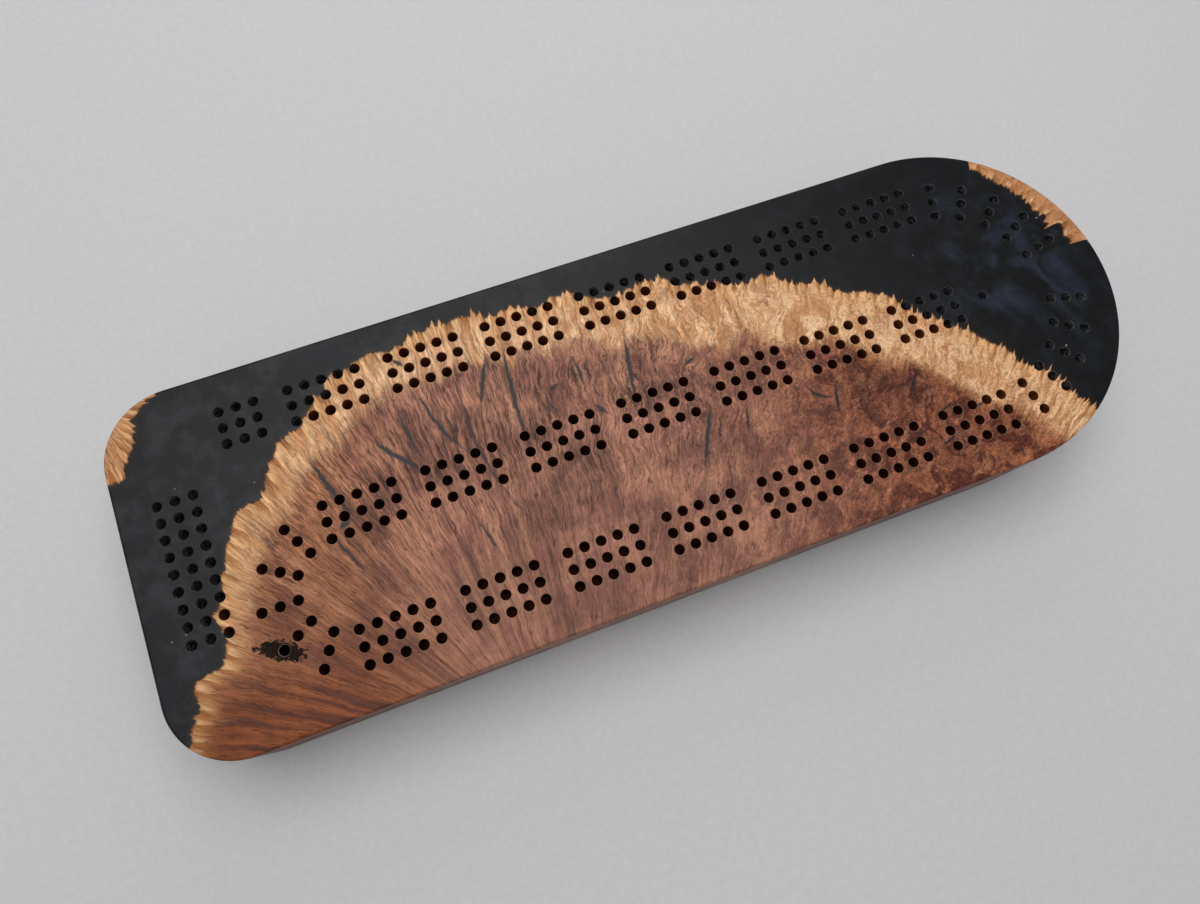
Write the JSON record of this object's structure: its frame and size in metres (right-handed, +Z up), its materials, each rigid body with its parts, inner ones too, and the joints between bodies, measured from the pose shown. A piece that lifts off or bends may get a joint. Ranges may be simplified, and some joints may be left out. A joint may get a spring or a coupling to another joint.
{
  "type": "cribbage board box with drawer",
  "caption": "Long three-track cribbage board in burl wood and black resin, square at one end and round at the other, with a flush peg drawer in its square end.",
  "frame": {"origin": "middle of the board's outline, on the surface its feet stand on", "axes": "+X along the board towards the round end, +Y towards the long side without the deep burl, +Z up"},
  "size_m": [0.3112, 0.108, 0.0342],
  "materials": {
    "burl_wood": "satin oiled burl with a pale sapwood band",
    "black_resin": "satin black cast resin with faint pearl wisps",
    "panel_wood": "satin oiled dark wood",
    "maple": "matte pale wood",
    "magnet": "nickel plated",
    "foot_rubber": "matte",
    "peg_brass": "turned, satin",
    "peg_steel": "turned, satin",
    "peg_black": "blackened, satin"
  },
  "bodies": {
    "board": {"top_burl": "burl_wood", "top_corner_burl": "burl_wood", "top_rim_burl": "burl_wood", "top_resin": "black_resin", "near_rail_burl": "burl_wood", "near_rail_resin": "black_resin", "far_rail_burl": "burl_wood", "far_rail_resin": "black_resin", "far_rail_corner": "burl_wood", "end_block_burl": "burl_wood", "end_block_resin": "black_resin", "end_block_rim": "burl_wood", "bottom_panel": "panel_wood", "case_magnets": "magnet", "drawer_stop": "maple", "foot_square_near": "foot_rubber", "foot_square_far": "foot_rubber", "foot_round_near": "foot_rubber", "foot_round_far": "foot_rubber"},
    "drawer": {"drawer_front": "black_resin", "drawer_side_near": "maple", "drawer_side_far": "maple", "drawer_floor": "maple", "drawer_back": "maple", "drawer_magnets": "magnet", "peg_rack": "maple", "pegs_brass": "peg_brass", "pegs_steel": "peg_steel", "pegs_black": "peg_black"}
  },
  "joints": [
    {"name": "drawer_slide", "type": "slide", "parent": "board", "child": "drawer", "axis": [-1, 0, 0], "range_m": [0, 0.1166]}
  ]
}
